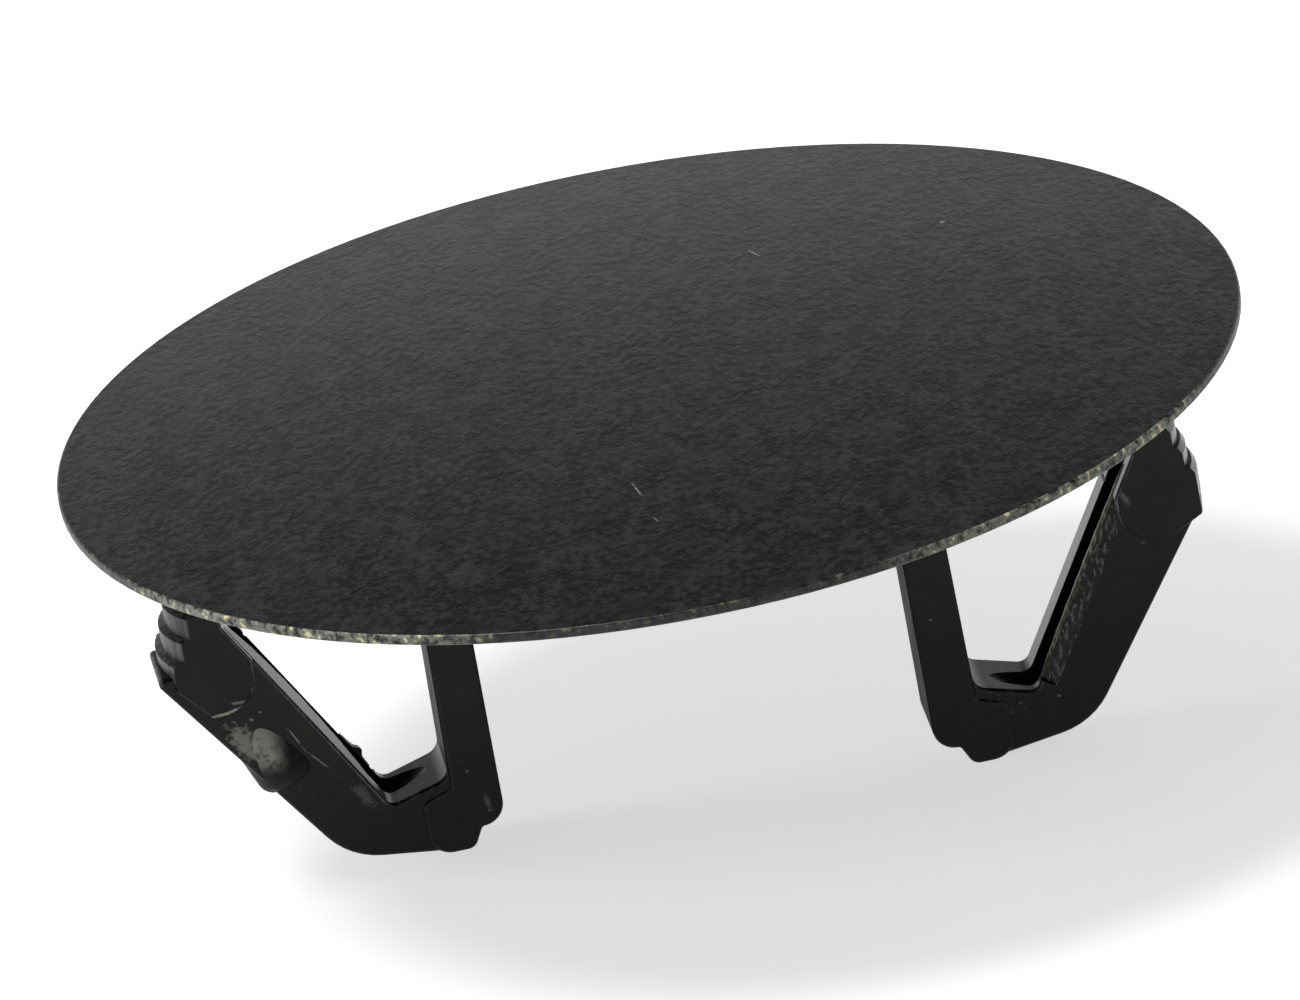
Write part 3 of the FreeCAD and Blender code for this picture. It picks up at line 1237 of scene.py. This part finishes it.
@dataclass
class PhotoCamera:
    """Camera at the photograph's viewing angle. Angles in degrees, distances in millimetres."""

    azimuth: float = 0.0
    elevation: float = 22.01
    roll: float = 10.50
    distance: float = 640.0
    pixels_per_mm: float = 40.02
    origin_x: float = 649.1
    origin_y: float = 394.6
    image_width: int = 1300
    image_height: int = 1000
    sensor: float = 36.0
    nearest: float = 10.0
    farthest: float = 10000.0

    def build(self) -> None:
        """Make the camera and set it as the scene's."""
        turn = math.radians(self.azimuth)
        lift = math.radians(self.elevation)
        tilt = math.radians(self.roll)
        level = math.cos(lift)
        back = Vector((-math.sin(turn) * level, -math.cos(turn) * level, math.sin(lift)))
        right = Vector((math.cos(turn), -math.sin(turn), 0.0))
        up = back.cross(right)
        rolled_right = right * math.cos(tilt) - up * math.sin(tilt)
        rolled_up = right * math.sin(tilt) + up * math.cos(tilt)
        data = bpy.data.cameras.new("photo_camera")
        data.sensor_width = self.sensor
        data.lens = self.sensor * self.pixels_per_mm * self.distance / self.image_width
        data.shift_x = -(self.origin_x - self.image_width / 2) / self.image_width
        data.shift_y = (self.origin_y - self.image_height / 2) / self.image_width
        data.clip_start = self.nearest * MM
        data.clip_end = self.farthest * MM
        camera = bpy.data.objects.new("photo_camera", data)
        frame = Matrix((rolled_right, rolled_up, back)).transposed().to_4x4()
        frame.translation = back * self.distance * MM
        camera.matrix_world = frame
        bpy.context.scene.collection.objects.link(camera)
        bpy.context.scene.camera = camera
        LOG.info("camera set at %.1f degrees up, %.0f mm away", self.elevation, self.distance)


@dataclass
class SoftBox:
    """One soft lamp aimed at the plug. Places and sizes in millimetres."""

    name: str
    place: tuple[float, float, float]
    size: float
    power: float

    def build(self) -> None:
        """Make the lamp."""
        data = bpy.data.lights.new(self.name, "AREA")
        data.shape = "DISK"
        data.size = self.size * MM
        data.energy = self.power
        lamp = bpy.data.objects.new(self.name, data)
        lamp.location = Vector(self.place) * MM
        lamp.rotation_euler = (-Vector(self.place)).to_track_quat("-Z", "Y").to_euler()
        bpy.context.scene.collection.objects.link(lamp)


@dataclass
class Studio:
    """Pale floor, white backdrop and soft lamps."""

    floor_z: float = -11.2
    floor_size: float = 4000.0
    floor_colour: str = "d8d8d8"
    floor_glow: float = 0.60
    white_light: float = 1.0
    room_light: float = 0.25
    ceiling_light: float = 0.03
    backdrop_low: float = 0.16
    backdrop_high: float = 0.49
    lamps: list[SoftBox] = field(
        default_factory=lambda: [
            SoftBox(name="overhead_softbox", place=(-150.0, -40.0, 380.0), size=160.0, power=1.3),
            SoftBox(name="left_softbox", place=(-360.0, 60.0, 110.0), size=150.0, power=0.4),
        ]
    )

    def build(self) -> None:
        """Make the floor, the world and the lamps."""
        self.build_floor()
        self.build_room()
        for lamp in self.lamps:
            lamp.build()
        bpy.context.scene.view_settings.view_transform = "Standard"
        LOG.info("studio built with %d lamps", len(self.lamps))

    def build_floor(self) -> None:
        """Make the floor: the camera and reflections see it white, with the plug's shadow on it."""
        form = bmesh.new()
        bmesh.ops.create_grid(form, x_segments=1, y_segments=1, size=self.floor_size * MM / 2)
        mesh = bpy.data.meshes.new("floor")
        form.to_mesh(mesh)
        form.free()
        floor = bpy.data.objects.new("floor", mesh)
        floor.location.z = self.floor_z * MM
        bpy.context.scene.collection.objects.link(floor)
        material, tree = new_material("pale_floor")
        matte = add_node(tree, "ShaderNodeBsdfDiffuse", Color=srgb(self.floor_colour)).outputs[0]
        glow = add_node(
            tree, "ShaderNodeEmission", Color=WHITE, Strength=self.floor_glow
        ).outputs[0]
        both = add_node(tree, "ShaderNodeAddShader", i0=matte, i1=glow).outputs[0]
        path = add_node(tree, "ShaderNodeLightPath")
        seen = add_node(
            tree,
            "ShaderNodeMath",
            MAXIMUM,
            i0=path.outputs["Is Camera Ray"],
            i1=path.outputs["Is Glossy Ray"],
        ).outputs[0]
        seen = add_node(
            tree,
            "ShaderNodeMath",
            MAXIMUM,
            i0=seen,
            i1=path.outputs["Is Transmission Ray"],
        ).outputs[0]
        pick = add_node(tree, "ShaderNodeMixShader", i0=seen, i1=matte, i2=both).outputs[0]
        add_node(tree, "ShaderNodeOutputMaterial", Surface=pick)
        mesh.materials.append(material)

    def build_room(self) -> None:
        """Light the room evenly; reflections see a white backdrop and the dim ceiling above it."""
        world = bpy.data.worlds.new("studio_room")
        bpy.context.scene.world = world
        world.use_nodes = True
        tree = world.node_tree
        tree.nodes.clear()
        way = add_node(tree, "ShaderNodeTexCoord").outputs["Generated"]
        height = add_node(tree, "ShaderNodeSeparateXYZ", Vector=way).outputs["Z"]
        backdrop = add_node(
            tree,
            "ShaderNodeMapRange",
            SMOOTH,
            Value=height,
            From_Min=self.backdrop_low,
            From_Max=self.backdrop_high,
            To_Min=self.white_light,
            To_Max=self.ceiling_light,
        ).outputs["Result"]
        path = add_node(tree, "ShaderNodeLightPath")
        mirrored = add_node(
            tree,
            "ShaderNodeMath",
            MAXIMUM,
            i0=path.outputs["Is Glossy Ray"],
            i1=path.outputs["Is Transmission Ray"],
        ).outputs[0]
        room = add_node(
            tree, "ShaderNodeBackground", Color=WHITE, Strength=self.room_light
        ).outputs[0]
        white = add_node(
            tree, "ShaderNodeBackground", Color=WHITE, Strength=self.white_light
        ).outputs[0]
        sweep = add_node(
            tree, "ShaderNodeBackground", Color=WHITE, Strength=backdrop
        ).outputs[0]
        pick = add_node(tree, "ShaderNodeMixShader", i0=mirrored, i1=room, i2=sweep).outputs[0]
        pick = add_node(
            tree, "ShaderNodeMixShader", i0=path.outputs["Is Camera Ray"], i1=pick, i2=white
        ).outputs[0]
        add_node(tree, "ShaderNodeOutputWorld", Surface=pick)


def main() -> None:
    """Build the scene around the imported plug."""
    logging.basicConfig(level=logging.INFO)
    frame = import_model()
    PlugBody().dress(frame["nodes"][NODE])
    # Painted sheen: the flash skins are drawn paler than the legs' black, blue-grey on the left leg
    # and pale yellowish grey along the right rail as a painted highlight; they are pieces of flash as
    # well
    skin = StreakedNylonSheen(
        name="nylon_flash_painted_sheen", base="17181d", drawn="3f414a", specular=0.20, roughness=0.38
    ).make()
    pale_skin = StreakedNylonSheen(
        name="nylon_flash_painted_highlight", base="3c3c33", drawn="9c9c84", specular=0.20, roughness=0.45
    ).make()
    MouldFlash(
        name="right_rail_flash",
        left=False,
        start=0.5,
        end=6.3,
        fixed_y=-0.80,
        free_y=-0.655,
        proud=0.03,
        sunk=0.06,
    ).build(pale_skin)
    MouldFlash(
        name="left_rail_flash", left=True, start=0.45, end=6.55, fixed_y=0.98, free_y=-0.30
    ).build(skin)
    MouldFlash(
        name="left_edge_flash",
        left=True,
        start=0.5,
        end=1.7,
        fixed_y=-0.80,
        free_y=-1.02,
        nub_at=1.0,
        nub_height=0.13,
    ).build(skin)
    Studio().build()
    PhotoCamera().build()


if __name__ == "__main__":
    main()
